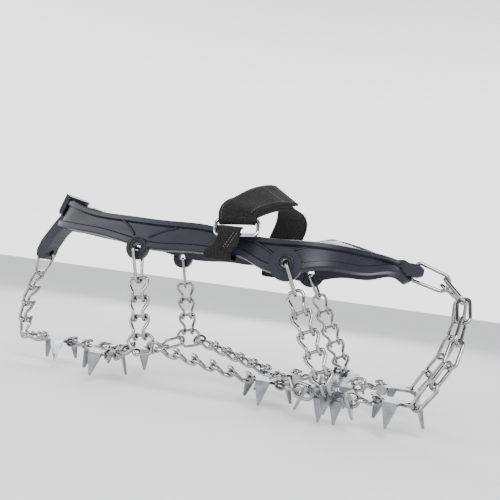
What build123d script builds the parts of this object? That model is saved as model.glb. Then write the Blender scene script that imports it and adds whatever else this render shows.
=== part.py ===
from build123d import *
import os
from math import atan2, cos, degrees, radians, sin

# Microspikes for one boot, in the shape they take when worn, without the boot.
# Frame: origin at the middle of the boot sole's contact plane, +X towards the toe,
# +Y towards the wearer's left, +Z up. The chains and spike plates hang just below Z = 0.
# The ring and the free end of the instep strap are on the -Y side.

# ---- chain wire, mm ----
WIRE = 2.0                       # ladder-chain wire
OVAL_WIRE = 2.2                  # toe-chain and ring wire
PLAY = 0.4                       # gap between a hook and the rung that it holds
HOOK = WIRE + PLAY               # centre-line radius of every hook
LOOSE_HALF = 4.0                 # half the height of a loose link's end, which lets a plate rock
PITCH = 11.4                     # rung to rung
SHOULDER = 5.6                   # half the width of a ladder link
LEG = 3.1                        # half the spacing of its two hooks
BEND = 1.3                       # shoulder bend
OVAL_HALF = 3.7                  # half the width of a toe-chain link
OVAL_PLAY = 0.8                  # slack between two closed links
ROUND = 0.93                     # share of a half width that its corner rounding takes
TAPER_ROUND = 0.86               # the same at the wide end of a tapered link

# ---- spike plates, mm ----
PLATE = 1.6                      # sheet thickness
PLATE_Z = -2.0                   # mid plane of a plate that lies flat under the sole
HUB_R = 8.6
ARM_W = 9.0
TOOTH_BASE = 8.0
TOOTH_DROP = 13.0                # from the sheet's mid plane to the tip
TOOTH_TIP = 0.9
SPLAY = 18.0                     # degrees that an outer tooth leans outwards
OUTER_BEND = 12.5                # radius of the fold of an outer tooth
TAB_BEND = 5.8                   # radius of the fold of a tooth that is cut from a window
BAR_R = 11.95                    # radius of the bar that a chain hooks over
BAR_W = 1.7
WINDOW = (4.2, 9.4)              # radial and tangential size of the opening inside the bar
FRAME_W = 13.2

# ---- harness, mm ----
RIB_T = 5.0                      # thickness along the two edges of the band
PANEL_SET_BACK = 1.6             # how far the panel between the edge ribs is set back
RIB_LOW = 3.8
RIB_HIGH = 3.2
WEB_T = 3.0
LUG_T = 3.6                      # thickness of a side eyelet
EYE_LIFT = 0.9                   # how far an eyelet's centre is above the wire that hangs in it
EYE_R = 2.35
REAR_BOSS_R = 7.0
FRONT_LUG_R = 9.3
POCKET_W = 9.0
POCKET_H = 16.0
TOE_EYE_R = 2.6

# ---- strap and ring, mm ----
STRAP_W = 22.0
STRAP_T = 1.6
PATCH_T = 1.2
PATCH_W = 19.0
RING_WIRE = 2.2
RING_LENGTH = 25.0               # centre line to centre line, along the band
RING_HEIGHT = 10.5
FOLD_R = 2.3                     # radius of the strap's middle layer round the ring's upper bar
LOOP_T = 1.0                     # thickness of the sewn loops round the band
RING_LONG = (0.99, 0.10, 0.10)   # direction of the ring's two long bars
RING_UP = (-0.15, 0.42, 0.90)    # from its lower bar to its upper bar
UPPER_BAR = (1.0, -43.2, 89.6)   # middle of the upper bar
FOLD_LENGTH = 4.5                # straight stretch of the strap above its fold
# Middle line of the strap over the instep to the far side, and the direction of its width.
STRAP_ROUTE = [
    ((4.0, -34.2, 97.0), (0.95, 0.0, -0.05)),
    ((11.0, -20.5, 104.5), (0.90, -0.10, -0.35)),
    ((18.0, -4.0, 108.3), (0.86, 0.0, -0.50)),
    ((21.5, 12.0, 105.5), (0.88, 0.10, -0.45)),
    ((20.0, 28.0, 97.0), (0.94, 0.15, -0.25)),
    ((13.5, 42.0, 85.4), (0.99, 0.08, 0.0)),
]
TAIL_STATIONS = 5                # stations of the strap that its folded-back end covers
# Sewn loops: inner outline as distance from the middle and height, and extent along X.
RING_LOOP = [(36.4, 84.3), (36.4, 65.4), (47.6, 65.4), (50.9, 71.5), (50.9, 82.0), (48.0, 84.3)]
RING_LOOP_X = (-15.0, 6.0)
RING_LOOP_NOTCH = (-7.4, 73.0, 40.0)   # the loop stops here beside the ring's rear end: x, lowest z, least y
ANCHOR_LOOP = [(35.6, 84.6), (35.6, 61.6), (53.4, 61.6), (53.4, 68.0), (48.0, 84.6)]
ANCHOR_X = (2.0, 20.0)

NEAR = -1                        # the wearer's right-hand side of the frame, where the ring is
FAR = 1
SIDES = {"right": NEAR, "left": FAR}

# Harness band: bottom and top of its outer face, from the heel's centre to the toe.
BAND = [
    ((-136.0, 0.0, 75.0), (-129.5, 0.0, 93.5)),
    ((-133.0, 13.0, 75.0), (-127.0, 11.5, 93.3)),
    ((-122.0, 24.0, 74.0), (-117.5, 21.5, 91.8)),
    ((-101.0, 33.5, 72.5), (-98.0, 30.5, 87.2)),
    ((-81.0, 38.5, 70.5), (-79.0, 35.5, 85.7)),
    ((-59.0, 43.0, 67.0), (-58.0, 39.5, 85.0)),
    ((-35.0, 44.5, 67.0), (-34.0, 41.5, 85.0)),
    ((-8.0, 45.0, 68.0), (-7.0, 42.0, 83.5)),
    ((14.0, 48.0, 65.5), (14.0, 43.5, 81.5)),
    ((34.0, 53.5, 62.5), (33.0, 46.5, 81.5)),
    ((51.0, 51.5, 67.0), (49.0, 45.5, 82.2)),
    ((68.0, 43.5, 68.3), (65.0, 39.5, 82.2)),
    ((84.0, 30.5, 69.8), (80.0, 27.5, 81.6)),
    ((98.0, 14.0, 71.0), (93.0, 12.5, 80.4)),
    ((104.5, 0.0, 71.2), (98.5, 0.0, 79.8)),
]
# Web over the toe box: x, half width, height at the sides, height at the centre.
WEB = [
    (38.0, 43.0, 79.5, 86.5),
    (54.0, 42.5, 80.5, 87.6),
    (68.0, 36.5, 80.7, 84.6),
    (83.0, 24.0, 80.3, 81.2),
    (98.0, 8.0, 78.3, 78.6),
]
WEB_EDGE = (14.0, 42.0, 60.0)    # centre x and half sizes of the curve that ends the web
PULL_HOLE = (69.0, 10.0, 7.5)    # centre x and half sizes of the oval pull hole
PULL_RIM = 2.2

# ---- eyelets and chain routes on the -Y side, mm (Y is given as a distance from the middle) ----
REAR_EYE = (-59.3, 41.6, 65.6)
REAR_TOP = (-55.4, 42.8, 47.6)   # first rung of the rear side chain
REAR_END = (-48.6, 44.0, 14.2)   # top bar of the junction ring
FRONT_EYE = (34.5, 51.4, 66.4)
FRONT_TOP = (41.3, 52.4, 52.3)   # rounded top of the first ladder link
FRONT_SECOND = (46.4, 53.2, 41.4)
FRONT_END = (61.7, 54.5, 11.3)   # rung of the last, short link
LAST_LEG = 1.7                   # the short link's hooks are close together and wide open
LAST_HOOK = 3.6
EYE_SPREAD = 4.8                 # half the width of an eyelet link at its top
REAR_SPREAD = 4.4
HEEL_SPREAD = 6.4
REAR_YAW = 18.0                  # how far the rear eyelet link is turned out of the YZ plane
FRONT_YAW = -14.0
HEEL_EYE = (-144.9, 0.0, 56.0)
HEEL_ROUTE = [(-148.0, 0.0, 42.6), (-151.2, 0.0, 31.6), (-153.4, 0.0, 20.4), (-153.8, 0.0, 9.0), (-150.6, 0.0, -1.9)]
TOE_EYE = (104.5, 0.0, 75.0)
TOE_SPLIT = (120.6, 0.0, 70.0)
TOE_FIRST = 5.9                  # half the height of the first toe link at the lug
TOE_LAST = 5.0                   # and at its front end
TOE_STACK = 1.9                  # how far the two side chains sit above and below its middle
TOE_SEAT = 2.9
TOE_ROUTE = [(134.0, 9.5, 60.3), (134.6, 18.6, 48.8), (132.0, 26.2, 36.6), (128.6, 32.0, 23.7), (121.4, 35.8, 11.6)]
JUNCTION = [(-5.8, 0.0), (5.8, 0.0), (8.2, 2.6), (6.6, 11.0), (-3.6, 11.5), (-8.2, 2.6)]  # across, down
JUNCTION_SIDES = {"rear": (-5.9, 7.05), "front": (7.4, 6.8)}

# ---- spike plates: x and distance from the middle ----
HEEL_PLATE = (-127.0, 0.0)
HEEL_SIDE_PLATE = (-80.0, 25.0)
FORE_PLATE = (27.0, 22.0)
CLAW_PLATE = (65.5, 42.6)
CLAW_TILT = 22.0                 # degrees that its outer edge is raised
CLAW_Z = -1.2
TOE_PLATE = (103.0, 31.0)
TOE_PLATE_Z = -0.6
CLAW_INNER = 28.0                # angle of the claw's two inner windows from the X axis
TOE_WINDOW = -25.0               # window of the toe plate that takes the toe chain
HEEL_RING_X = -82.0
HEEL_RING_R = 5.0
FORE_RING_R = 3.4


def unit(vector):
    return vector.normalized()


def wire_solid(path, diameter):
    """Round wire along a path."""
    return sweep(Plane(origin=path @ 0, z_dir=path % 0) * Circle(diameter / 2), path=path)


def frame_between(a, b, normal):
    """Local axes of a link: origin at a, local Y towards b, local Z out of the boot."""
    along = unit(b - a)
    across = unit(along.cross(normal))
    return Plane(origin=a, x_dir=across, z_dir=across.cross(along))


def place(frame, solid):
    return frame.location * solid


def mirrored(solid, side):
    """The solid for one side, made from the one for the -Y side."""
    return solid if side == NEAR else mirror(solid, about=Plane.XZ)


def near_point(point):
    """A route point on the -Y side."""
    return Vector(point[0], -point[1], point[2])


# ------------------------------------------------------------------ chain links
def ladder_link(length=PITCH, half=SHOULDER, bend=BEND, leg=LEG, hook=HOOK):
    """One wire: a rung at the origin, two shoulders, and legs that hook the rung at Y = length."""
    side = [
        (leg, length - 1.6, -hook),
        (leg, length + hook, -hook),
        (leg, length + hook, hook),
        (leg, length * 0.72, hook),
        (half, length * 0.34, 0.2),
        (half, 0, 0),
    ]
    wave = length * 0.22
    corners = [ROUND * hook, ROUND * hook, wave, wave, bend]
    points = side + [(-x, y, z) for x, y, z in reversed(side)]
    return wire_solid(FilletPolyline(*points, radius=corners + corners[::-1]), WIRE)


def loop_link(length, first=HOOK, last=HOOK):
    """Closed link in the local YZ plane round a bar at Y = 0 and one at Y = length."""
    points = [(0, -HOOK, first), (0, length + HOOK, last), (0, length + HOOK, -last), (0, -HOOK, -first)]
    corners = [ROUND * min(r, (length + 2 * HOOK) / 2) for r in (first, last, last, first)]
    return wire_solid(FilletPolyline(*points, radius=corners, close=True), WIRE)


def eyelet_link(length, spread, last=HOOK, wire=WIRE):
    """Closed link whose flat top passes through an eyelet and whose legs straddle it."""
    points = [(0, 0, spread), (0, length + last, last), (0, length + last, -last), (0, 0, -spread)]
    corners = [WIRE, ROUND * last, ROUND * last, WIRE]
    return wire_solid(FilletPolyline(*points, radius=corners, close=True), wire)


def oval_link(length):
    """Closed oval link in the local XY plane whose contact points are Y = 0 and Y = length."""
    reach = (OVAL_WIRE + OVAL_PLAY) / 2
    points = [
        (OVAL_HALF, -reach),
        (OVAL_HALF, length + reach),
        (-OVAL_HALF, length + reach),
        (-OVAL_HALF, -reach),
    ]
    return wire_solid(FilletPolyline(*points, radius=ROUND * OVAL_HALF, close=True), OVAL_WIRE)


def tapered_oval(length):
    """Closed link in the local YZ plane from an oval link at Y = 0 to a plate bar at Y = length."""
    reach = (OVAL_WIRE + OVAL_PLAY) / 2
    points = [(0, -reach, -OVAL_HALF), (0, length + HOOK, -HOOK), (0, length + HOOK, HOOK), (0, -reach, OVAL_HALF)]
    wide = TAPER_ROUND * OVAL_HALF
    corners = [wide, ROUND * HOOK, ROUND * HOOK, wide]
    return wire_solid(FilletPolyline(*points, radius=corners, close=True), OVAL_WIRE)


def wire_ring(radius, wire):
    return Torus(radius, wire / 2)


def route(start, end):
    """Evenly spaced rungs from start to end, about one pitch apart."""
    count = round((end - start).length / PITCH)
    return [start + (end - start) * (i / count) for i in range(count + 1)]


def ladder_chain(points, normals):
    """Ladder links between successive points."""
    pairs = zip(points, points[1:], normals)
    return [place(frame_between(a, b, n), ladder_link((b - a).length)) for a, b, n in pairs]


def sole_run(bar, target, bar_wire=None, loose=HOOK):
    """A closed link round bar, then ladder links under the sole that hook over target."""
    down = Vector(0, 0, -1)
    span = (target - bar).length
    along = (target - bar) * (1 / span)
    count = int((span - HOOK) // PITCH)
    rungs = [target - along * (PITCH * i) for i in range(count, 0, -1)]
    across = unit(along.cross(down))
    if bar_wire is not None:
        wire = unit(bar_wire - along * bar_wire.dot(along))
        across = unit(across + wire * (1 if wire.dot(across) > 0 else -1))
    first = Plane(origin=bar, x_dir=across, z_dir=across.cross(along))
    solids = [place(first, loop_link((rungs[0] - bar).length, first=loose, last=loose))]
    solids += [place(frame_between(rung, target, down), ladder_link()) for rung in rungs]
    return solids


# ------------------------------------------------------------------ spike plates
def tooth(angle, bend_at, splay, shift=0.0, base=TOOTH_BASE):
    """A triangular spike folded down from the sheet at a radius, in the plate's local axes."""
    half = PLATE / 2
    tip = Vector(bend_at + TOOTH_DROP * sin(radians(splay)) / cos(radians(splay)), -TOOTH_DROP)
    slope = unit(tip - Vector(bend_at, 0))
    side = Vector(-slope.Y, slope.X) * half
    profile = Polyline(
        (bend_at - PLATE, half),
        (bend_at + side.X, half),
        (tip.X + side.X, tip.Y),
        (tip.X - side.X, tip.Y),
        (bend_at - side.X, -half),
        (bend_at - PLATE, -half),
        close=True,
    )
    strip = extrude(Plane.XZ * make_face(profile), base / 2, both=True)
    outline = Polyline(
        (-base / 2, PLATE),
        (base / 2, PLATE),
        (base / 2, -PLATE),
        (TOOTH_TIP / 2, -TOOTH_DROP),
        (-TOOTH_TIP / 2, -TOOTH_DROP),
        (-base / 2, -PLATE),
        close=True,
    )
    taper = extrude(Plane.YZ * make_face(outline), 3 * OUTER_BEND)
    return Rot(0, 0, angle) * Pos(0, shift, 0) * (strip & taper)


def turned(angle, flat, centre):
    """A flat shape centred out along an angle."""
    return Rot(0, 0, angle) * Pos(centre, 0) * flat


def spike_plate(outer_teeth, windows, tab_teeth=(), twin=None):
    """Stamped sheet: a hub, folded spikes, and windows whose outer bars take the chain."""
    sheet = Circle(HUB_R)
    for angle in outer_teeth:
        sheet += turned(angle, Rectangle(OUTER_BEND, ARM_W), OUTER_BEND / 2)
    depth = BAR_R + BAR_W / 2
    for angle in windows:
        sheet += turned(angle, RectangleRounded(depth, FRAME_W, 1.2), depth / 2)
    if twin is not None:
        sheet += turned(twin, Rectangle(OUTER_BEND, 2 * ARM_W), OUTER_BEND / 2)
    for angle in windows:
        middle = BAR_R - BAR_W / 2 - WINDOW[0] / 2
        sheet -= turned(angle, Rectangle(*WINDOW), middle)
    plate = extrude(sheet, PLATE / 2, both=True)
    for angle in outer_teeth:
        plate += tooth(angle, OUTER_BEND, SPLAY)
    for angle in tab_teeth:
        plate += tooth(angle, TAB_BEND, 0)
    if twin is not None:
        for shift in (-ARM_W / 2, ARM_W / 2):
            plate += tooth(twin, OUTER_BEND, SPLAY, shift)
    return plate


def heading(start, end):
    """Yaw in degrees from one point to another."""
    return degrees(atan2(end.Y - start.Y, end.X - start.X))


def plate_centre(centre, z=PLATE_Z):
    """Centre of a plate on the -Y side."""
    return Vector(centre[0], -centre[1], z)


def bar_point(centre, angle):
    """Middle of a window bar of a flat plate."""
    return centre + Vector(cos(radians(angle)), sin(radians(angle))) * BAR_R


def claw_frame():
    """The tilted claw plate's own axes."""
    return Pos(CLAW_PLATE[0], -CLAW_PLATE[1], CLAW_Z) * Rot(-CLAW_TILT, 0, 0)


def claw_bar(angle):
    """Middle of a window bar of the claw plate."""
    return (claw_frame() * Pos(BAR_R * cos(radians(angle)), BAR_R * sin(radians(angle)), 0)).position


# ------------------------------------------------------------------ harness
def band_frame(index):
    """Outer bottom point, outward normal, up vector and height of the band at a station."""
    low, high = (near_point(p) for p in BAND[index])
    before = near_point(BAND[max(index - 1, 0)][0])
    after = near_point(BAND[min(index + 1, len(BAND) - 1)][0])
    if index == 0:
        before = Vector(after.X, -after.Y, after.Z)
    if index == len(BAND) - 1:
        after = Vector(before.X, -before.Y, before.Z)
    up = high - low
    outward = unit((after - before).cross(up)) * 1.0
    return low, outward, unit(up), up.length


def face_from(points):
    return Face(Wire.make_polygon(points, close=True))


def band_section(index):
    """Closed outline of the band: a set-back panel between two thick edge ribs."""
    low, outward, up, height = band_frame(index)
    chamfer = 0.8
    outline = [
        (-RIB_T, 0),
        (-chamfer, 0),
        (0, chamfer),
        (0, RIB_LOW),
        (-PANEL_SET_BACK, RIB_LOW + 1.0),
        (-PANEL_SET_BACK, height - RIB_HIGH - 1.0),
        (0, height - RIB_HIGH),
        (0, height - chamfer),
        (-chamfer, height),
        (-RIB_T, height),
    ]
    return face_from([low + outward * n + up * h for n, h in outline])


def band_half():
    return loft([band_section(i) for i in range(len(BAND))])


def web():
    """Arched web over the toe box, with its rear edge curved and an oval pull hole."""
    sections = []
    for x, half, side_z, top_z in WEB:
        top = ThreePointArc((x, -half, side_z), (x, 0, top_z), (x, half, side_z))
        low = ThreePointArc((x, half, side_z - WEB_T), (x, 0, top_z - WEB_T), (x, -half, side_z - WEB_T))
        outline = [top, Line(top @ 1, low @ 0), low, Line(low @ 1, top @ 0)]
        sections.append(Face(Wire(outline)))
    shell = loft(sections)
    centre_x, half_x, half_y = WEB_EDGE
    shell -= Pos(centre_x, 0, 0) * extrude(Ellipse(half_x, half_y), 120)
    return shell


def pull_rim():
    """Raised oval rim round the pull hole."""
    centre_x, half_x, half_y = PULL_HOLE
    tilt = 12.0
    rim = extrude(Ellipse(half_x + PULL_RIM, half_y + PULL_RIM), 2.4, both=True)
    return Pos(centre_x, 0, 82.8) * Rot(0, tilt, 0) * rim


def side_lug(eye, radius):
    """Disc-shaped eyelet on the band's lower edge, on the -Y side."""
    disc = Cylinder(radius, LUG_T, rotation=(90, 0, 0))
    return Pos(near_point(eye)) * disc


def heel_arm():
    """Arm that drops from the heel's centre to the heel chain's eyelet."""
    outline = Polyline(
        (-129.6, 90.0),
        (-138.2, 78.0),
        (-146.6, 64.5),
        (-149.0, 58.0),
        (-148.8, 53.8),
        (-146.2, 51.2),
        (-143.8, 51.2),
        (-142.1, 54.0),
        (-140.4, 60.0),
        (-136.0, 68.5),
        (-130.0, 76.0),
        close=True,
    )
    arm = extrude(Plane.XZ * make_face(outline), 7.0, both=True)
    return fillet(arm.edges().filter_by(Axis.Y), 1.6)


def heel_tab():
    """Pull tab that stands on the heel's top edge."""
    outline = Polyline((-14, -4), (14, -4), (9, 12), (-9, 12), close=True)
    tab = extrude(make_face(outline), 1.8, both=True)
    tab = fillet(tab.edges().filter_by(Axis.Z).sort_by(Axis.Y)[-2:], 6)
    lean = Plane(origin=(-128.8, 0, 93), x_dir=(0, 1, 0), z_dir=(-0.86, 0, 0.5))
    return place(lean, tab)


def toe_lug():
    """Thick eyelet at the toe, with a vertical hole."""
    outline = Polyline(
        (90.0, 79.6),
        (98.0, 80.4),
        (101.0, 79.0),
        (107.0, 78.6),
        (110.2, 76.0),
        (110.0, 72.4),
        (107.0, 71.0),
        (90.0, 71.0),
        close=True,
    )
    lug = extrude(Plane.XZ * make_face(outline), 8.0, both=True)
    return fillet(lug.edges().filter_by(Axis.Y), 1.0)


def eye_hole(eye, axis, radius, length):
    """Cutter for an eyelet."""
    return place(Plane(origin=eye, z_dir=axis), Cylinder(radius, length))


def link_pockets():
    """Room on the inner side of the front eyelets for the links' inner legs."""
    x, y, z = FRONT_EYE
    inner = y - LUG_T / 2
    pocket = Box(POCKET_W, inner * 2, POCKET_H)
    return Pos(x, 0, z - POCKET_H / 2 + 2 * WIRE) * (pocket - Box(POCKET_W, inner * 2 - POCKET_W, POCKET_H))


def harness():
    half = band_half()
    for eye, radius in ((REAR_EYE, REAR_BOSS_R), (FRONT_EYE, FRONT_LUG_R)):
        half += side_lug(eye, radius)
    body = half + mirror(half, about=Plane.XZ)
    body += web() + toe_lug() + heel_arm() + heel_tab()
    body += pull_rim()
    centre_x, half_x, half_y = PULL_HOLE
    body -= Pos(centre_x, 0, 60) * extrude(Ellipse(half_x, half_y), 60)
    for eye in (REAR_EYE, FRONT_EYE):
        body -= eye_hole((eye[0], 0, eye[2] + EYE_LIFT), (0, 1, 0), EYE_R, 130)
    body -= link_pockets()
    for eye, held, radius in ((HEEL_EYE, HEEL_ROUTE[0], EYE_R), (TOE_EYE, TOE_SPLIT, TOE_EYE_R)):
        pull = unit(Vector(*held) - Vector(*eye))
        body -= eye_hole(Vector(*eye) - pull * EYE_LIFT, pull.cross(Vector(0, 1, 0)), radius, 24)
    return body


# ------------------------------------------------------------------ strap group
def ring_axes():
    """Directions of the ring's long bars and of its short ones, and the ring's outward normal."""
    long = unit(Vector(*RING_LONG))
    up = Vector(*RING_UP)
    up = unit(up - long * up.dot(long))
    return long, up, long.cross(up)


def strap_line():
    """Stations of the strap's middle line: two at the fold, then the route over the instep."""
    long, up, outward = ring_axes()
    fold = Vector(*UPPER_BAR) - outward * FOLD_R
    route_points = [(Vector(*centre), unit(Vector(*width))) for centre, width in STRAP_ROUTE]
    return [(fold, long), (fold + up * FOLD_LENGTH, long)] + route_points


def strap_frame(index):
    """Centre, width direction and outward normal of the strap at a station."""
    line = strap_line()
    centre, width = line[index]
    before = line[max(index - 1, 0)][0]
    after = line[min(index + 1, len(line) - 1)][0]
    outward = unit(width.cross(after - before))
    return centre, width, outward


def strap_section(index, width, inner, outer):
    """Rectangle across the strap between two heights over its middle layer."""
    centre, across, outward = strap_frame(index)
    corners = [(-width / 2, inner), (width / 2, inner), (width / 2, outer), (-width / 2, outer)]
    return face_from([centre + across * x + outward * n for x, n in corners])


def strap_strip(stations, width, inner, outer):
    return loft([strap_section(i, width, inner, outer) for i in stations], ruled=True)


def instep_strap():
    """Strap with the fold round the ring's upper bar."""
    strip = strap_strip(range(len(STRAP_ROUTE) + 2), STRAP_W, -STRAP_T / 2, STRAP_T / 2)
    long, up, outward = ring_axes()
    end = Plane(origin=Vector(*UPPER_BAR) - long * (STRAP_W / 2), x_dir=up, z_dir=long)
    tube = Circle(FOLD_R + STRAP_T / 2) - Circle(FOLD_R - STRAP_T / 2)
    below = Rectangle(2 * FOLD_R, 4 * FOLD_R, align=(Align.MAX, Align.CENTER))
    return strip + extrude(end * (tube & below), STRAP_W, dir=long)


def tail_strip(width, inner, outer, first=0):
    """Strip over the first stations of the strap."""
    return strap_strip(range(first, TAIL_STATIONS), width, inner, outer)


def ring():
    """Rectangular wire ring that joins the strap to the near side of the band."""
    long, up, outward = ring_axes()
    plane = Plane(origin=Vector(*UPPER_BAR), x_dir=long, z_dir=outward)
    half = RING_LENGTH / 2
    points = [(half, 0, 0), (-half, 0, 0), (-half, -RING_HEIGHT, 0), (half, -RING_HEIGHT, 0)]
    return place(plane, wire_solid(FilletPolyline(*points, radius=2.6, close=True), RING_WIRE))


def sewn_loop(inner, extent, side):
    """Webbing sewn round the band: an outline along X with a constant thickness."""
    opening = make_face(Polyline(*[(side * y, z) for y, z in inner], close=True))
    skin = offset(opening, LOOP_T, kind=Kind.INTERSECTION) - opening
    return extrude(Plane(origin=(extent[0], 0, 0), x_dir=(0, 1, 0), z_dir=(1, 0, 0)) * skin, extent[1] - extent[0])


def ring_loop():
    loop = sewn_loop(RING_LOOP, RING_LOOP_X, NEAR)
    x, z, y = RING_LOOP_NOTCH
    cutter = Box(30, 30, 30, align=(Align.MAX, Align.MAX, Align.MIN))
    return loop - Pos(x, -y, z) * cutter


# ------------------------------------------------------------------ chains on the boot's sides
def yawed_outward(yaw):
    return Vector(-sin(radians(yaw)), -cos(radians(yaw)), 0)


def rear_chain():
    """Eyelet link, three ladder links and the junction ring."""
    outward = Vector(0, -1, 0)
    eye, top, end = (near_point(p) for p in (REAR_EYE, REAR_TOP, REAR_END))
    links = [place(frame_between(eye, top, yawed_outward(REAR_YAW)), eyelet_link((top - eye).length, REAR_SPREAD))]
    rungs = route(top, end)
    return links + ladder_chain(rungs, [outward] * len(rungs))


def junction_point(across, down):
    end = near_point(REAR_END)
    frame = frame_between(end, end * 2 - near_point(REAR_TOP), Vector(0, -1, 0))
    return end - frame.x_dir * across + frame.y_dir * down


def junction_ring():
    points = [tuple(junction_point(*p)) for p in JUNCTION]
    return wire_solid(FilletPolyline(*points, radius=1.4, close=True), WIRE)


def front_chain():
    """Eyelet link, rounded ladder link, three ladder links and a short one to the claw plate."""
    outward = Vector(0, -1, 0)
    eye, top, second, end = (near_point(p) for p in (FRONT_EYE, FRONT_TOP, FRONT_SECOND, FRONT_END))
    links = [place(frame_between(eye, top, yawed_outward(FRONT_YAW)), eyelet_link((top - eye).length, EYE_SPREAD))]
    links += [place(frame_between(top, second, outward), ladder_link((second - top).length, 4.6, 3.2))]
    rungs = route(second, end)
    links += ladder_chain(rungs, [outward] * len(rungs))
    bar = claw_bar(-90)
    short = ladder_link((bar - end).length, leg=LAST_LEG, hook=LAST_HOOK)
    return links + [place(frame_between(end, bar, outward), short)]


def heel_chain():
    """Eyelet link and five ladder links to the rear bar of the heel plate."""
    back = Vector(-1, 0, 0)
    eye = Vector(*HEEL_EYE)
    rungs = [Vector(*p) for p in HEEL_ROUTE] + [bar_point(plate_centre(HEEL_PLATE), 180)]
    links = [place(frame_between(eye, rungs[0], back), eyelet_link((rungs[0] - eye).length, HEEL_SPREAD))]
    normals = [back] * (len(HEEL_ROUTE) - 1) + [Vector(0, 0, -1)]
    return links + ladder_chain(rungs, normals)


def toe_link():
    """Long link through the toe lug that both sides of the toe chain hang from."""
    eye, split = Vector(*TOE_EYE), Vector(*TOE_SPLIT)
    frame = frame_between(eye, split, Vector(0, 0, 1))
    return place(frame, eyelet_link((split - eye).length, TOE_FIRST, TOE_LAST, OVAL_WIRE))


def toe_start(side):
    """Where a side's first oval link sits in the long toe link."""
    split = Vector(*TOE_SPLIT)
    along = unit(split - Vector(*TOE_EYE))
    lift = unit(Vector(0, 1, 0).cross(along)) * -1
    return split + along * TOE_SEAT + lift * (TOE_STACK if side == NEAR else -TOE_STACK)


def toe_chain(side):
    """Four oval links and a tapered one that ends on the toe plate, drawn on the -Y side."""
    start = toe_start(side)
    nodes = [start] + [near_point(p) for p in TOE_ROUTE]
    end = bar_point(plate_centre(TOE_PLATE, TOE_PLATE_Z), TOE_WINDOW)
    links = []
    face = Vector(1, 0, 1)
    for a, b in zip(nodes, nodes[1:]):
        frame = frame_between(a, b, face)
        links.append(place(frame, oval_link((b - a).length)))
        face = frame.x_dir
    outward = Vector(cos(radians(TOE_WINDOW)), sin(radians(TOE_WINDOW)))
    last = frame_between(nodes[-1], end, outward)
    return links + [place(last, tapered_oval((end - nodes[-1]).length))]


# ------------------------------------------------------------------ plates and the net under the sole
def fore_bars():
    """Window angles of the forefoot plate towards the junction ring, the claw and the middle."""
    centre = plate_centre(FORE_PLATE)
    rear = heading(centre, junction_point(*JUNCTION_SIDES["front"]))
    front = heading(centre, claw_bar(180 - CLAW_INNER))
    return rear, front, 90.0


def heel_side_bars():
    centre = plate_centre(HEEL_SIDE_PLATE)
    outer = heading(centre, junction_point(*JUNCTION_SIDES["rear"]))
    inner = heading(centre, Vector(HEEL_RING_X, 0))
    return outer, inner


def toe_rear_bar():
    return heading(plate_centre(TOE_PLATE), claw_bar(CLAW_INNER))


def plates():
    """Every plate of the -Y side, in place."""
    claw = spike_plate([-20, 200], [-90, CLAW_INNER, 180 - CLAW_INNER], [-90], twin=90)
    rear, front, cross = fore_bars()
    fore = spike_plate([-90, 30, 150], [rear, front, cross])
    side = spike_plate([-85, 35, 155], heel_side_bars())
    toe = spike_plate([15, 135, -105], [TOE_WINDOW, toe_rear_bar()])
    return {
        "heel_side_plate": Pos(plate_centre(HEEL_SIDE_PLATE)) * side,
        "forefoot_plate": Pos(plate_centre(FORE_PLATE)) * fore,
        "side_claw_plate": claw_frame() * claw,
        "toe_plate": Pos(plate_centre(TOE_PLATE, TOE_PLATE_Z)) * toe,
    }


def side_net():
    """Sole chain of the -Y side: plate to plate, and up to the junction ring."""
    heel_side = plate_centre(HEEL_SIDE_PLATE)
    fore = plate_centre(FORE_PLATE)
    toe = plate_centre(TOE_PLATE, TOE_PLATE_Z)
    outer, inner = heel_side_bars()
    rear, front, cross = fore_bars()
    corners = [junction_point(*p) for p in JUNCTION]
    solids = sole_run(junction_point(*JUNCTION_SIDES["rear"]), bar_point(heel_side, outer),
                      corners[4] - corners[5], LOOSE_HALF)
    solids += sole_run(junction_point(*JUNCTION_SIDES["front"]), bar_point(fore, rear),
                       corners[3] - corners[2], LOOSE_HALF)
    solids += sole_run(claw_bar(180 - CLAW_INNER), bar_point(fore, front), loose=LOOSE_HALF)
    solids += sole_run(claw_bar(CLAW_INNER), bar_point(toe, toe_rear_bar()), loose=LOOSE_HALF)
    solids += cross_link(Vector(HEEL_RING_X, 0, PLATE_Z), HEEL_RING_R, bar_point(heel_side, inner))
    solids += cross_link(Vector(FORE_PLATE[0], 0, PLATE_Z), FORE_RING_R, bar_point(fore, cross))
    return solids


def cross_link(ring_centre, ring_radius, bar):
    """Closed link from a flat ring in the middle to a plate's inner bar."""
    start = ring_centre + unit(bar - ring_centre) * ring_radius
    return [place(frame_between(start, bar, Vector(0, 0, -1)), loop_link((bar - start).length))]


def centre_net():
    """The rings in the middle, and the run from the heel plate's front bar to the rear one."""
    ring_centre = Vector(HEEL_RING_X, 0, PLATE_Z)
    start = ring_centre - Vector(HEEL_RING_R, 0, 0)
    solids = sole_run(start, bar_point(plate_centre(HEEL_PLATE), 0))
    solids.append(Pos(ring_centre) * wire_ring(HEEL_RING_R, OVAL_WIRE))
    solids.append(Pos(FORE_PLATE[0], 0, PLATE_Z) * wire_ring(FORE_RING_R, WIRE))
    return solids


# ------------------------------------------------------------------ output
def export(name, solids):
    shape = solids[0] if len(solids) == 1 else Compound(children=list(solids))
    export_step(shape, f"parts/{name}.step")


def export_links(stem, links, side):
    for number, link in enumerate(links, start=1):
        export(f"{stem}_{number}", [mirrored(link, side)])


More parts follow.
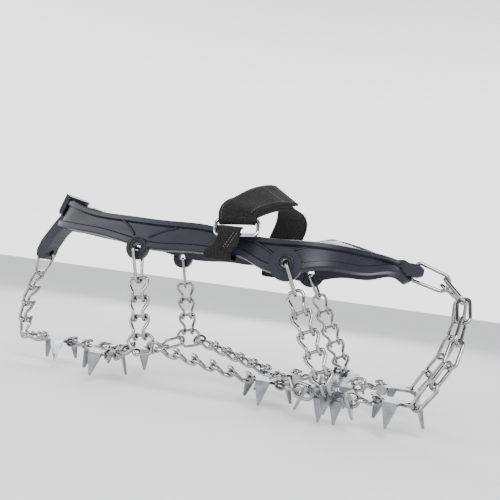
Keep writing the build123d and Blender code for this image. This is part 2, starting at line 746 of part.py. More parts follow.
os.makedirs("parts", exist_ok=True)
export("harness", [harness()])
export("webbing_loop", [ring_loop()])
export("strap_anchor", [sewn_loop(ANCHOR_LOOP, ANCHOR_X, FAR)])
export("buckle_ring", [ring()])
export("instep_strap", [instep_strap()])
surface = STRAP_T / 2
outer = 2 * FOLD_R - surface
export("loop_patch", [tail_strip(PATCH_W, surface, surface + PATCH_T, first=1)])
export("hook_patch", [tail_strip(PATCH_W, outer - PATCH_T, outer, first=1)])
export("strap_tail", [tail_strip(STRAP_W, outer, outer + STRAP_T)])
export_links("heel_chain_link", heel_chain(), NEAR)
export("toe_chain_link", [toe_link()])
export("heel_plate", [Pos(plate_centre(HEEL_PLATE)) * spike_plate([60, -60], [0, 180], [180])])
export("sole_chain_centre", centre_net())
net = side_net()
export("sole_chain_sides", net + [mirrored(solid, FAR) for solid in net])
for name, side in SIDES.items():
    export_links(f"rear_chain_{name}", rear_chain(), side)
    export_links(f"front_chain_{name}", front_chain(), side)
    export_links(f"toe_chain_{name}", toe_chain(side), side)
    export(f"junction_ring_{name}", [mirrored(junction_ring(), side)])
    for stem, plate in plates().items():
        export(f"{stem}_{name}", [mirrored(plate, side)])
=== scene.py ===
import bpy
from math import cos, pi, radians, sin
from mathutils import Matrix, Vector


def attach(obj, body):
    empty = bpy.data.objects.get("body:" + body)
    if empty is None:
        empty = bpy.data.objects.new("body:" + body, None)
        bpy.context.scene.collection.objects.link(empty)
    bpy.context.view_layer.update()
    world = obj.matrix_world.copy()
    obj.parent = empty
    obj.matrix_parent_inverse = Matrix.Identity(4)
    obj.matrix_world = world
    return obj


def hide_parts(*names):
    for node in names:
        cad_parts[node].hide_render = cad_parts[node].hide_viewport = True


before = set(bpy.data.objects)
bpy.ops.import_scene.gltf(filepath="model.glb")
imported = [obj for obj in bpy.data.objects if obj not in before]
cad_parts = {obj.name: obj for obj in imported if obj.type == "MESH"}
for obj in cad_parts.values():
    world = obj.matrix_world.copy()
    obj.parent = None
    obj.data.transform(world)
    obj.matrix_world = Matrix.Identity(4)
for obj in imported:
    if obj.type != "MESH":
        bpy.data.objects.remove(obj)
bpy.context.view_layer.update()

# The row frame: +X to the toe, +Y to the wearer's left, +Z up. Values marked (mm) are scaled by MM.
# -Y is the side with the ring.
MM = 0.001
ROOT = "harness"

# ---- camera and light ----
AZIMUTH = 13.92
ELEVATION = -3.32
ROLL = 7.84
DISTANCE = 0.4182
TARGET = Vector((-0.0004, 0.00245, 0.0755))
LENS = 46.05
SENSOR_WIDTH = 36.0
NEAR_CLIP = 0.01
FLOOR_Z = -0.0200
FLOOR_HALF = 40.0
LIGHTS = [                             # name, place, size, power
    ("key", (0.30, -0.75, 0.70), 0.45, 9.0),
    ("fill", (-0.8, -0.5, 0.35), 0.6, 4.0),
    ("rim", (-0.2, 0.8, 0.6), 0.6, 6.0),
]
WALL_STOP = 0.30
WALL_COLOUR = (1.0, 1.0, 1.0, 1.0)
CEILING_STOP = 0.75
CEILING_COLOUR = (0.12, 0.125, 0.14, 1.0)
WORLD_STRENGTH = 2.6

# Smoothness of the moulded ridges' round section.
TUBE_RESOLUTION = 3

# ---- harness: outer face of the band, bottom and top, from the heel round to the toe (mm, +Y half) ----
BAND = [
    ((-136.0, 0.0, 75.0), (-129.5, 0.0, 93.5)),
    ((-133.0, 13.0, 75.0), (-127.0, 11.5, 93.3)),
    ((-122.0, 24.0, 74.0), (-117.5, 21.5, 91.8)),
    ((-101.0, 33.5, 72.5), (-98.0, 30.5, 87.2)),
    ((-81.0, 38.5, 70.5), (-79.0, 35.5, 85.7)),
    ((-59.0, 43.0, 67.0), (-58.0, 39.5, 85.0)),
    ((-35.0, 44.5, 67.0), (-34.0, 41.5, 85.0)),
    ((-8.0, 45.0, 68.0), (-7.0, 42.0, 83.5)),
    ((14.0, 48.0, 65.5), (14.0, 43.5, 81.5)),
    ((34.0, 53.5, 62.5), (33.0, 46.5, 81.5)),
    ((51.0, 51.5, 67.0), (49.0, 45.5, 82.2)),
    ((68.0, 43.5, 68.3), (65.0, 39.5, 82.2)),
    ((84.0, 30.5, 69.8), (80.0, 27.5, 81.6)),
    ((98.0, 14.0, 71.0), (93.0, 12.5, 80.4)),
    ((104.5, 0.0, 71.2), (98.5, 0.0, 79.8)),
]
REAR_EYE = Vector((-59.3, 41.6, 66.5))
FRONT_EYE = Vector((34.5, 51.4, 67.3))


# ------------------------------------------------------------------ materials
# Darker and lighter tone of each material, and its smoother and rougher patches.
RUBBER_TONES = ((0.0042, 0.0045, 0.0100), (0.0080, 0.0086, 0.0175))
RUBBER_GLOSS = (0.33, 0.46)
WEBBING_TONES = ((0.0028, 0.0028, 0.0026), (0.0174, 0.0174, 0.0168))
PILE_TONES = ((0.012, 0.012, 0.012), (0.003, 0.003, 0.003))
THREAD_TONES = ((0.05, 0.05, 0.05), (0.13, 0.13, 0.12))
FLOOR_TONES = ((0.93, 0.93, 0.93), (0.96, 0.96, 0.96))
# Chain and spike tints are darker than stainless steel's own colour: painted shade standing in for dark
# surroundings mirrored in the steel.
CHAIN_SHADED_TINT = (0.33, 0.325, 0.32)
CHAIN_GLOSS = (0.08, 0.20)
SPIKE_SHADED_TINT = (0.25, 0.255, 0.27)
SPIKE_GLOSS = (0.10, 0.28)
RING_TINT = (0.60, 0.59, 0.57)
RING_GLOSS = (0.08, 0.18)
STAIN_SHADE = 0.62                     # how dark a stained patch of steel is beside a clean one

# Texture scales, in repeats per metre.
CLOUD_SCALE = 60.0
GRAIN_SCALE = 2200.0
FLOW_SCALE = 25.0
FLOW_STRETCH = (1.0, 1.0, 6.0)
WEFT_SCALE = 360.0
TWILL_SCALE = 520.0
FUZZ_SCALE = 900.0
WORN_SCALE = 70.0
PILE_SCALE = 1500.0
STAIN_SCALE = 170.0
WIRE_MARK_SCALE = 900.0
PLATE_MARK_SCALE = 500.0
MARK_STRETCH = (1.0, 1.0, 0.25)
TWIST_SCALE = 1800.0
FLOOR_SCALE = 3.0
SOFT_DETAIL = 4.0
FINE_DETAIL = 3.0
PLAIN_DETAIL = 2.0

# Bump heights, in metres.
RUBBER_BUMP = 0.00005
WEAVE_BUMP = 0.00022
PILE_BUMP = 0.0004
STEEL_BUMP = 0.00003
THREAD_BUMP = 0.00008


class Nodes:
    """Short spelling for building a node tree."""

    def __init__(self, name):
        self.material = bpy.data.materials.new(name)
        self.material.use_nodes = True
        self.tree = self.material.node_tree
        self.shader = self.tree.nodes["Principled BSDF"]
        self.object_space = self.add("ShaderNodeTexCoord").outputs["Object"]

    def add(self, kind, **values):
        node = self.tree.nodes.new(kind)
        for key, value in values.items():
            setattr(node, key, value)
        return node

    def link(self, source, target):
        self.tree.links.new(source, target)

    def noise(self, scale, detail=FINE_DETAIL, stretch=None):
        node = self.add("ShaderNodeTexNoise")
        node.inputs["Scale"].default_value = scale
        node.inputs["Detail"].default_value = detail
        place = self.object_space
        if stretch is not None:
            mapping = self.add("ShaderNodeMapping")
            mapping.inputs["Scale"].default_value = stretch
            self.link(place, mapping.inputs["Vector"])
            place = mapping.outputs["Vector"]
        self.link(place, node.inputs["Vector"])
        return node.outputs["Fac"]

    def wave(self, scale, direction, distortion):
        node = self.add("ShaderNodeTexWave", wave_type="BANDS", bands_direction=direction)
        node.inputs["Scale"].default_value = scale
        node.inputs["Distortion"].default_value = distortion
        self.link(self.object_space, node.inputs["Vector"])
        return node.outputs["Fac"]

    def ramp(self, source, stops):
        node = self.add("ShaderNodeValToRGB")
        elements = node.color_ramp.elements
        for element, (position, colour) in zip(elements, stops):
            element.position = position
            element.color = (*colour, 1.0)
        self.link(source, node.inputs["Fac"])
        return node.outputs["Color"]

    def tones(self, source, stops, colours):
        """Base colour between two tones."""
        self.link(self.ramp(source, list(zip(stops, colours))), self.shader.inputs["Base Color"])

    def gloss(self, source, stops, levels):
        """Roughness between two levels."""
        greys = [(level,) * 3 for level in levels]
        self.link(self.ramp(source, list(zip(stops, greys))), self.shader.inputs["Roughness"])

    def math(self, operation, a, b):
        node = self.add("ShaderNodeMath", operation=operation)
        for socket, value in zip(node.inputs, (a, b)):
            if isinstance(value, (int, float)):
                socket.default_value = value
            else:
                self.link(value, socket)
        return node.outputs["Value"]

    def bump(self, height, distance):
        node = self.add("ShaderNodeBump")
        node.inputs["Distance"].default_value = distance
        self.link(height, node.inputs["Height"])
        self.link(node.outputs["Normal"], self.shader.inputs["Normal"])

    def set(self, **values):
        for key, value in values.items():
            self.shader.inputs[key.replace("_", " ")].default_value = value


def rubber():
    """Moulded dark navy elastomer with a satin skin, fine grain and faint flow marks."""
    n = Nodes("harness_elastomer")
    cloud = n.noise(CLOUD_SCALE, SOFT_DETAIL)
    grain = n.noise(GRAIN_SCALE, PLAIN_DETAIL)
    flow = n.noise(FLOW_SCALE, PLAIN_DETAIL, FLOW_STRETCH)
    n.tones(cloud, (0.3, 0.7), RUBBER_TONES)
    n.gloss(flow, (0.35, 0.7), RUBBER_GLOSS)
    n.set(Coat_Weight=0.04, Coat_Roughness=0.25, Specular_IOR_Level=0.27)
    n.bump(n.math("ADD", grain, n.math("MULTIPLY", cloud, 2.0)), RUBBER_BUMP)
    return n.material


def webbing():
    """Narrow woven polyester: fine ribs both ways, fuzzy, with worn lighter threads."""
    n = Nodes("woven_webbing")
    weft = n.wave(WEFT_SCALE, "X", 0.6)
    twill = n.wave(TWILL_SCALE, "DIAGONAL", 0.4)
    fuzz = n.noise(FUZZ_SCALE)
    worn = n.noise(WORN_SCALE, SOFT_DETAIL)
    mixed = n.math("ADD", n.math("MULTIPLY", weft, 0.25), n.math("MULTIPLY", fuzz, 0.75))
    shade = n.math("MULTIPLY", mixed, n.math("ADD", worn, 0.45))
    n.tones(shade, (0.28, 0.72), WEBBING_TONES)
    n.set(Roughness=0.95, Sheen_Weight=0.06, Sheen_Roughness=0.5, Specular_IOR_Level=0.12)
    n.bump(n.math("ADD", n.math("MULTIPLY", weft, twill), fuzz), WEAVE_BUMP)
    return n.material


def hook_pile():
    """Felt-like hook-and-loop pile."""
    n = Nodes("hook_and_loop_pile")
    cells = n.add("ShaderNodeTexVoronoi")
    cells.inputs["Scale"].default_value = PILE_SCALE
    n.link(n.object_space, cells.inputs["Vector"])
    n.tones(cells.outputs["Distance"], (0.1, 0.6), PILE_TONES)
    n.set(Roughness=0.95, Sheen_Weight=0.08)
    n.bump(cells.outputs["Distance"], PILE_BUMP)
    return n.material


def steel(name, tint, gloss, mark_scale=WIRE_MARK_SCALE):
    """Polished stainless steel with tumbling marks, faint stains and uneven gloss."""
    n = Nodes(name)
    patches = n.noise(STAIN_SCALE, SOFT_DETAIL)
    marks = n.noise(mark_scale, PLAIN_DETAIL, MARK_STRETCH)
    stained = tuple(c * STAIN_SHADE for c in tint)
    n.tones(patches, (0.3, 0.62), (stained, tint))
    n.gloss(n.math("MULTIPLY", patches, marks), (0.12, 0.42), gloss)
    n.set(Metallic=1.0)
    n.bump(marks, STEEL_BUMP)
    return n.material


def thread():
    """Pale grey twisted sewing thread."""
    n = Nodes("sewing_thread")
    twist = n.wave(TWIST_SCALE, "DIAGONAL", 0.3)
    n.tones(twist, (0.2, 0.8), THREAD_TONES)
    n.set(Roughness=0.8, Sheen_Weight=0.3)
    n.bump(twist, THREAD_BUMP)
    return n.material


def studio_floor():
    """Matt pale floor."""
    n = Nodes("pale_floor")
    n.tones(n.noise(FLOOR_SCALE), (0.3, 0.7), FLOOR_TONES)
    n.set(Roughness=1.0, Specular_IOR_Level=0.0)
    return n.material


def paint(node, material):
    """Gives a CAD node one material."""
    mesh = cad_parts[node]
    mesh.data.materials.clear()
    mesh.data.materials.append(material)


# ------------------------------------------------------------------ mesh helpers
def piece(name, points, faces, material, body=ROOT):
    """A mesh object that rides on a body."""
    mesh = bpy.data.meshes.new(name)
    mesh.from_pydata([tuple(p) for p in points], [], faces)
    mesh.update()
    for polygon in mesh.polygons:
        polygon.use_smooth = True
    mesh.materials.append(material)
    obj = bpy.data.objects.new(name, mesh)
    bpy.context.scene.collection.objects.link(obj)
    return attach(obj, body)


def curve_points(points, per_span):
    """Points along a Catmull-Rom curve through the given ones."""
    padded = [points[0] * 2 - points[1]] + list(points) + [points[-1] * 2 - points[-2]]
    out = []
    for a, b, c, d in zip(padded, padded[1:], padded[2:], padded[3:]):
        for step in range(per_span):
            t = step / per_span
            out.append(0.5 * (2 * b + (c - a) * t + (2 * a - 5 * b + 4 * c - d) * t * t
                              + (3 * b - a - 3 * c + d) * t ** 3))
    return out + [points[-1].copy()]


def grid_faces(rows, columns, close_rows=False):
    """Quads between successive rings of points. close_rows joins the last ring to the first."""
    faces = []
    for r in range(rows if close_rows else rows - 1):
        s = (r + 1) % rows
        for c in range(columns):
            d = (c + 1) % columns
            faces.append((r * columns + c, r * columns + d, s * columns + d, s * columns + c))
    return faces


def tube_along(name, points, radius, material, closed=False):
    """A round moulded ridge of the harness along points."""
    curve = bpy.data.curves.new(name, "CURVE")
    curve.dimensions = "3D"
    curve.bevel_depth = radius
    curve.bevel_resolution = TUBE_RESOLUTION
    curve.use_fill_caps = True
    spline = curve.splines.new("POLY")
    spline.points.add(len(points) - 1)
    for target, point in zip(spline.points, points):
        target.co = (*point, 1.0)
    spline.use_cyclic_u = closed
    curve.materials.append(material)
    obj = bpy.data.objects.new(name, curve)
    bpy.context.scene.collection.objects.link(obj)
    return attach(obj, ROOT)


# ------------------------------------------------------------------ strap
# Middle line and width direction from the ring over the instep to the far side (mm).
STRAP_W = 22.0
STRAP_T = 1.6
PATCH_W = 19.0
PATCH_T = 1.2
FOLD_R = 2.3
FOLD_LENGTH = 4.5
RING_LONG = Vector((0.99, 0.10, 0.10)).normalized()
RING_UP = Vector((-0.15, 0.42, 0.90))
UPPER_BAR = Vector((1.0, -43.2, 89.6))
STRAP_ROUTE = [
    ((4.0, -34.2, 97.0), (0.95, 0.0, -0.05)),
    ((11.0, -20.5, 104.5), (0.90, -0.10, -0.35)),
    ((18.0, -4.0, 108.3), (0.86, 0.0, -0.50)),
    ((21.5, 12.0, 105.5), (0.88, 0.10, -0.45)),
    ((20.0, 28.0, 97.0), (0.94, 0.15, -0.25)),
    ((13.5, 42.0, 85.4), (0.99, 0.08, 0.0)),
]
TAIL_STATIONS = 5                      # stations that the folded-back tail covers
SPAN_STEPS = 8
FOLD_STEPS = 12
EDGE_TURNS = (-60, -30, 0, 30, 60)     # degrees round a rolled edge
FACE_SHARES = (0.46, 0.38, 0.2, 0.0, -0.2, -0.38, -0.46)
SELVEDGE_SHARE = 0.42                  # the selvedge is beyond this share of the width
SELVEDGE_BEAD = 0.12

# Inner outlines (distance from the middle, height) of the two loops sewn round the band (mm).
RING_LOOP = [(36.4, 84.3), (36.4, 65.4), (47.6, 65.4), (50.9, 71.5), (50.9, 82.0), (48.0, 84.3)]
ANCHOR_LOOP = [(35.6, 84.6), (35.6, 61.6), (53.4, 61.6), (53.4, 68.0), (48.0, 84.6)]
LOOP_T = 1.0
LOOP_CORNER_R = 2.4
LOOP_BEVEL = 0.3
LOOP_COLUMNS = 10
CORNER_SHARE = 0.45                    # most of a side that a corner's curve may take
CORNER_STEPS = 5
RING_LOOP_X = (-15.0, 1.5)             # rear and front edge under the band
REAR_LEAN = 7.8                        # how far each edge runs forwards on the way up to the ring
FRONT_LEAN = 4.5
LEAN_FROM_Y = (38.0, 42.0)
LEAN_FROM_Z = (68.0, 76.0)
ANCHOR_X = (2.0, 20.0)

# Stitches (mm). The profile is (place along the stitch, swell of its radius).
STITCH_PITCH = 1.5
STITCH_LENGTH = 1.05
STITCH_R = 0.16
STITCH_SIDES = 6
STITCH_PROFILE = ((-0.5, 0.15), (-0.32, 0.9), (0.0, 1.15), (0.32, 0.9), (0.5, 0.15))
SEAM_SHARE = 0.42
CROSS_SEAMS = (-3, -7)                 # frames of the tail, counted from its free end
LOOP_SEAM = ((1.5, 72.6), (6.0, 81.0))
LOOP_SEAM_SHIFTS = (2.0, 4.0)


def ring_axes():
    """The ring's long direction, its up direction and its outward normal."""
    up = (RING_UP - RING_LONG * RING_UP.dot(RING_LONG)).normalized()
    return RING_LONG, up, RING_LONG.cross(up)


def strap_frames():
    """Centre, across and outward directions of the strap's middle layer, closely spaced, in mm."""
    long, up, outward = ring_axes()
    fold = UPPER_BAR - outward * FOLD_R
    stations = [(fold, long), (fold + up * FOLD_LENGTH, long)]
    stations += [(Vector(centre), Vector(width).normalized()) for centre, width in STRAP_ROUTE]
    centres = curve_points([s[0] for s in stations], SPAN_STEPS)
    widths = curve_points([s[1] for s in stations], SPAN_STEPS)
    frames = []
    for i, centre in enumerate(centres):
        along = (centres[min(i + 1, len(centres) - 1)] - centres[max(i - 1, 0)]).normalized()
        across = (widths[i] - along * widths[i].dot(along)).normalized()
        frames.append((centre, across, across.cross(along)))
    return frames


def fold_frames():
    """Frames of the strap's half turn under the ring's upper bar."""
    long, up, outward = ring_axes()
    frames = []
    for step in range(FOLD_STEPS):
        turn = pi * step / FOLD_STEPS
        radial = outward * cos(turn) - up * sin(turn)
        frames.append((UPPER_BAR + radial * FOLD_R, long, -radial))
    return frames


def ribbon(name, frames, width, middle, thickness, material, body=ROOT):
    """A woven strip with rounded, slightly beaded selvedges, swept through frames."""
    edge = thickness / 2
    outline = []
    for side in (1, -1):
        for turn in EDGE_TURNS:
            angle = radians(turn)
            outline.append((side * (width / 2 - edge + edge * cos(angle)), side * edge * sin(angle)))
        for share in FACE_SHARES:
            bead = SELVEDGE_BEAD if abs(share) > SELVEDGE_SHARE else 0.0
            outline.append((side * width * share, side * (edge + bead)))
    points = []
    for centre, across, outward in frames:
        base = centre + outward * middle
        points += [(base + across * x + outward * n) * MM for x, n in outline]
    columns = len(outline)
    faces = grid_faces(len(frames), columns)
    last = (len(frames) - 1) * columns
    faces.append(tuple(reversed(range(columns))))
    faces.append(tuple(last + c for c in range(columns)))
    return piece(name, points, faces, material, body)


def stitch_row(name, points, normals, material, body=ROOT):
    """Separate raised stitches along a line (mm)."""
    verts = []
    faces = []
    carried = 0.0
    for a, b, normal in zip(points, points[1:], normals):
        run = (b - a).length
        along = (b - a).normalized()
        side = normal.cross(along).normalized()
        place = carried
        while place < run:
            start = len(verts)
            for shift, swell in STITCH_PROFILE:
                centre = a + along * (place + shift * STITCH_LENGTH)
                for k in range(STITCH_SIDES):
                    angle = 2 * pi * k / STITCH_SIDES
                    radial = side * cos(angle) + normal * sin(angle)
                    verts.append((centre + radial * STITCH_R * swell) * MM)
            rings = grid_faces(len(STITCH_PROFILE), STITCH_SIDES)
            faces += [tuple(start + corner for corner in face) for face in rings]
            place += STITCH_PITCH
        carried = place - run
    return piece(name, verts, faces, material, body)


def rounded(corners, radius):
    """Closed outline with its corners eased by short curves."""
    out = []
    count = len(corners)
    for i, corner in enumerate(corners):
        here = Vector(corner)
        back = Vector(corners[i - 1]) - here
        ahead = Vector(corners[(i + 1) % count]) - here
        near = here + back.normalized() * min(radius, back.length * CORNER_SHARE)
        far = here + ahead.normalized() * min(radius, ahead.length * CORNER_SHARE)
        for step in range(CORNER_STEPS + 1):
            t = step / CORNER_STEPS
            out.append(near * (1 - t) ** 2 + here * 2 * t * (1 - t) + far * t * t)
    return out


def band_loop(name, corners, side, extent, material):
    """Webbing wrapped round the band. extent(y, z) gives its rear and front edge there."""
    outline = rounded(corners, LOOP_CORNER_R)
    count = len(outline)
    centre = sum(outline, Vector((0.0, 0.0))) / count
    rows = []
    for i, point in enumerate(outline):
        along = (outline[(i + 1) % count] - outline[i - 1]).normalized()
        normal = Vector((along.y, -along.x))
        if normal.dot(point - centre) < 0:
            normal = -normal
        rear, front = extent(point.x, point.y)
        section = [(rear + (front - rear) * c / LOOP_COLUMNS, 0.0) for c in range(LOOP_COLUMNS + 1)]
        section += [(x, LOOP_T) for x, _ in reversed(section)]
        for x, lift in section:
            y, z = point + normal * lift
            rows.append(Vector((x, side * y, z)) * MM)
    faces = grid_faces(count, 2 * (LOOP_COLUMNS + 1), close_rows=True)
    obj = piece(name, rows, faces, material)
    bevel = obj.modifiers.new("soft_edges", "BEVEL")
    bevel.width = LOOP_BEVEL * MM
    bevel.segments = 2
    bevel.limit_method = "ANGLE"
    return obj


def ease(value, low, high):
    """0 below low, 1 above high, smooth between."""
    t = min(1.0, max(0.0, (value - low) / (high - low)))
    return t * t * (3 - 2 * t)


def ring_loop_extent(y, z):
    """The loop leans: its rear edge runs forwards towards the ring, its front edge too."""
    outside = ease(y, *LEAN_FROM_Y) * ease(z, *LEAN_FROM_Z)
    rear, front = RING_LOOP_X
    return rear + REAR_LEAN * outside, front + FRONT_LEAN * outside


def anchor_extent(y, z):
    """The far loop has straight edges."""
    return ANCHOR_X


def strap_pieces(weave, pile, yarn):
    """The instep strap, its folded-back tail, the two closure patches and the loops round the band."""
    frames = strap_frames()
    tail = frames[:(TAIL_STATIONS - 1) * SPAN_STEPS + 1]
    patch = tail[SPAN_STEPS:]
    tail_middle = 2 * FOLD_R
    tail_inner = tail_middle - STRAP_T / 2
    strap_outer = STRAP_T / 2
    strap = ribbon("instep_strap_webbing", fold_frames() + frames, STRAP_W, 0.0, STRAP_T, weave)
    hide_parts("instep_strap")
    flap = ribbon("strap_tail_webbing", tail, STRAP_W, tail_middle, STRAP_T, weave, "strap_tail")
    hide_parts("strap_tail")
    loops = ribbon("loop_patch_pile", patch, PATCH_W, strap_outer + PATCH_T / 2, PATCH_T, pile)
    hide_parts("loop_patch")
    hooks = ribbon("hook_patch_pile", patch, PATCH_W, tail_inner - PATCH_T / 2, PATCH_T, pile, "strap_tail")
    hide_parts("hook_patch")
    near_loop = band_loop("webbing_loop_sewn", RING_LOOP, -1, ring_loop_extent, weave)
    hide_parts("webbing_loop")
    far_loop = band_loop("strap_anchor_sewn", ANCHOR_LOOP, 1, anchor_extent, weave)
    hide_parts("strap_anchor")
    tail_seams(tail, tail_middle + STRAP_T / 2, yarn)
    loop_seams(yarn)


def tail_seams(tail, surface, yarn):
    """Stitches along both edges of the tail and across its free end."""
    inner = tail[2:-2]
    for number, share in enumerate((-SEAM_SHARE, SEAM_SHARE)):
        line = [centre + across * STRAP_W * share + outward * surface for centre, across, outward in inner]
        stitch_row(f"tail_edge_stitches_{number}", line, [f[2] for f in inner], yarn, "strap_tail")
    for number, index in enumerate(CROSS_SEAMS):
        centre, across, outward = tail[index]
        top = centre + outward * surface
        line = [top + across * STRAP_W * SEAM_SHARE * part for part in (-1, -1 / 3, 1 / 3, 1)]
        stitch_row(f"tail_cross_stitches_{number}", line, [outward] * 3, yarn, "strap_tail")


def loop_seams(yarn):
    """Two leaning rows of stitches on the outer face of the loop under the ring."""
    face_y = RING_LOOP[4][0] + LOOP_T
    (low_x, low_z), (high_x, high_z) = LOOP_SEAM
    for number, shift in enumerate(LOOP_SEAM_SHIFTS):
        line = [Vector((low_x - shift, -face_y, low_z)), Vector((high_x - shift, -face_y, high_z))]
        stitch_row(f"loop_stitches_{number}", line, [Vector((0, -1, 0))], yarn)


# ------------------------------------------------------------------ harness trim
def raised_ring(name, eye, side, radius, tube, lift, material):
    """Moulded ridge round an eyelet."""
    centre = Vector((eye.x, side * (eye.y + lift), eye.z)) * MM
    turns = [2 * pi * i / RING_POINTS for i in range(RING_POINTS)]
    points = [centre + Vector((cos(turn), 0, sin(turn))) * radius * MM for turn in turns]
    return tube_along(name, points, tube * MM, material, closed=True)


def band_spot(x, height, side, lift):
    """Point in front of the band's outer face at a given x (mm) and height share."""
    lows = [Vector(low) for low, _ in BAND]
    highs = [Vector(high) for _, high in BAND]
    for i in range(len(BAND) - 1):
        if lows[i].x <= x <= lows[i + 1].x:
            t = (x - lows[i].x) / (lows[i + 1].x - lows[i].x)
            low = lows[i].lerp(lows[i + 1], t)
            high = highs[i].lerp(highs[i + 1], t)
            across = (high - low).normalized()
            along = (lows[i + 1] - lows[i]).normalized()
            normal = along.cross(across)
            if normal.y < 0:
                normal = -normal
            spot = low.lerp(high, height) + normal * lift
            return Vector((spot.x, side * spot.y, spot.z)) * MM
    raise ValueError("x is off the band")


def v_rib(name, side, path, material):
    """A moulded rib on the band's face through (x, height share) points."""
    corners = [band_spot(x, height, side, RIB_LIFT) for x, height in path]
    return tube_along(name, curve_points(corners, RIB_STEPS), RIB_R * MM, material)


RIB_STEPS = 8
RIB_R = 0.8
RIB_LIFT = -1.3
RIBS = {
    "rear_v_a": [(-76.0, 0.80), (-70.0, 0.62), (-64.5, 0.36)],
    "rear_v_b": [(-54.0, 0.36), (-46.0, 0.60), (-37.0, 0.78)],
    "front_v_a": [(12.0, 0.80), (19.0, 0.66), (26.5, 0.47)],
    "front_v_b": [(27.5, 0.47), (35.0, 0.64), (46.0, 0.80)],
}

# Ridges round the eyelets (mm): distance from the eye, thickness and lift.
RING_POINTS = 48
REAR_RIDGE_RADII = (3.4, 5.2)
REAR_RIDGE = (0.5, 1.8)
FRONT_RIDGE_RADIUS = 4.2
FRONT_RIDGE = (0.7, 1.9)

# Front web: x, half width, height at the side, height at the middle (mm).
WEB = [
    (38, 43, 79.5, 86.5),
    (54, 42.5, 80.5, 87.6),
    (68, 36.5, 80.7, 84.6),
    (83, 24, 80.3, 81.2),
    (98, 8, 78.3, 78.6),
]
WEB_EDGE_CENTRE = 14.0
WEB_EDGE_HALF = (42.0, 60.0)
WEB_RIM_REACH = 33.0
WEB_RIM_STEPS = 48
WEB_RIM_R = 0.9
WEB_RIM_INSET = 0.6
WEB_RIM_SINK = 0.3


def web_height(x, y):
    """Height of the web's upper face over a point."""
    for near, far in zip(WEB, WEB[1:]):
        if x <= far[0]:
            t = max(0.0, (x - near[0]) / (far[0] - near[0]))
            half, side, middle = (a + (b - a) * t for a, b in zip(near[1:], far[1:]))
            return side + (middle - side) * (1.0 - min(1.0, abs(y) / half) ** 2)
    raise ValueError("x is in front of the web")


def harness_trim(material):
    """Raised rings round the side eyelets, the V ribs over them, and the rim along the web's rear edge."""
    for label, side in (("right", -1), ("left", 1)):
        for number, radius in enumerate(REAR_RIDGE_RADII):
            raised_ring(f"rear_eyelet_ridge_{label}_{number}", REAR_EYE, side, radius, *REAR_RIDGE, material)
        front = f"front_eyelet_ridge_{label}"
        raised_ring(front, FRONT_EYE, side, FRONT_RIDGE_RADIUS, *FRONT_RIDGE, material)
        for part, path in RIBS.items():
            v_rib(f"{part}_{label}", side, path, material)
    rim = []
    for step in range(WEB_RIM_STEPS + 1):
        y = WEB_RIM_REACH * (2 * step / WEB_RIM_STEPS - 1)
        x = WEB_EDGE_CENTRE + WEB_EDGE_HALF[0] * (1 - (y / WEB_EDGE_HALF[1]) ** 2) ** 0.5
        rim.append(Vector((x + WEB_RIM_INSET, y, web_height(x, y) - WEB_RIM_SINK)) * MM)
    tube_along("web_rear_rim", rim, WEB_RIM_R * MM, material)


# ------------------------------------------------------------------ scene
def look_camera():
    """Camera at the photograph's viewing angle."""
    azimuth, elevation = radians(AZIMUTH), radians(ELEVATION)
    back = Vector((sin(azimuth) * cos(elevation), -cos(azimuth) * cos(elevation), sin(elevation)))
    right = Vector((cos(azimuth), sin(azimuth), 0.0))
    up = back.cross(right)
    roll = radians(ROLL)
    turned_right = right * cos(roll) + up * sin(roll)
    turned_up = up * cos(roll) - right * sin(roll)
    data = bpy.data.cameras.new("camera")
    data.lens = LENS
    data.sensor_width = SENSOR_WIDTH
    data.clip_start = NEAR_CLIP
    camera = bpy.data.objects.new("camera", data)
    rotation = Matrix((turned_right, turned_up, back)).transposed().to_4x4()
    camera.matrix_world = Matrix.Translation(TARGET + back * DISTANCE) @ rotation
    bpy.context.scene.collection.objects.link(camera)
    bpy.context.scene.camera = camera


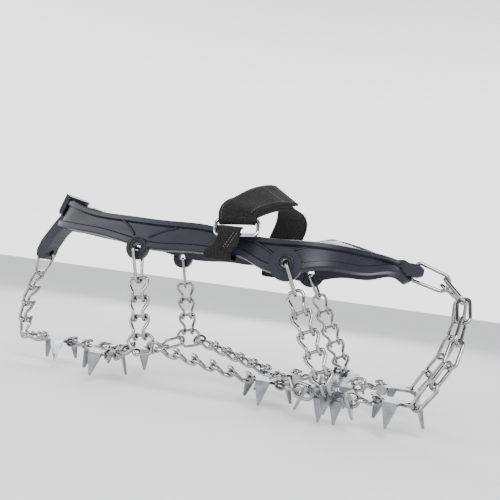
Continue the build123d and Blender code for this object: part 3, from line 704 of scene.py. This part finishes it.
def area_light(name, place, size, power):
    """Soft square light aimed at the object."""
    data = bpy.data.lights.new(name, "AREA")
    data.size = size
    data.energy = power
    light = bpy.data.objects.new(name, data)
    light.location = place
    light.rotation_euler = (TARGET - Vector(place)).to_track_quat("-Z", "Y").to_euler()
    bpy.context.scene.collection.objects.link(light)


def studio():
    """Pale floor, soft lights and a pale surround."""
    signs = [(-1, -1), (1, -1), (1, 1), (-1, 1)]
    corners = [(FLOOR_HALF * x, FLOOR_HALF * y, FLOOR_Z) for x, y in signs]
    mesh = bpy.data.meshes.new("floor")
    mesh.from_pydata(corners, [], [(0, 1, 2, 3)])
    mesh.materials.append(studio_floor())
    floor = bpy.data.objects.new("floor", mesh)
    bpy.context.scene.collection.objects.link(floor)
    bpy.context.scene.world = studio_world()
    for light in LIGHTS:
        area_light(*light)


def studio_world():
    """White walls under a darker ceiling, so that polished steel has something to mirror."""
    world = bpy.data.worlds.new("studio_world")
    world.use_nodes = True
    tree = world.node_tree
    background = tree.nodes["Background"]
    place = tree.nodes.new("ShaderNodeTexCoord")
    split = tree.nodes.new("ShaderNodeSeparateXYZ")
    tone = tree.nodes.new("ShaderNodeValToRGB")
    elements = tone.color_ramp.elements
    elements[0].position = WALL_STOP
    elements[0].color = WALL_COLOUR
    elements[1].position = CEILING_STOP
    elements[1].color = CEILING_COLOUR
    tree.links.new(place.outputs["Generated"], split.inputs["Vector"])
    tree.links.new(split.outputs["Z"], tone.inputs["Fac"])
    tree.links.new(tone.outputs["Color"], background.inputs["Color"])
    background.inputs["Strength"].default_value = WORLD_STRENGTH
    return world


# ------------------------------------------------------------------ make it
def repaint():
    """Materials for the CAD nodes that keep their shape."""
    elastomer = rubber()
    paint("harness", elastomer)
    # The chain and spike tints carry painted shade, darker than clean stainless steel.
    chain = steel("chain_stainless", CHAIN_SHADED_TINT, CHAIN_GLOSS)
    spikes = steel("spike_stainless", SPIKE_SHADED_TINT, SPIKE_GLOSS, PLATE_MARK_SCALE)
    ring = steel("ring_nickel", RING_TINT, RING_GLOSS)
    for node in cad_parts:
        if "_plate" in node:
            paint(node, spikes)
        elif "chain" in node or "junction" in node:
            paint(node, chain)
    paint("buckle_ring", ring)
    return elastomer


elastomer = repaint()
strap_pieces(webbing(), hook_pile(), thread())
harness_trim(elastomer)
studio()
look_camera()
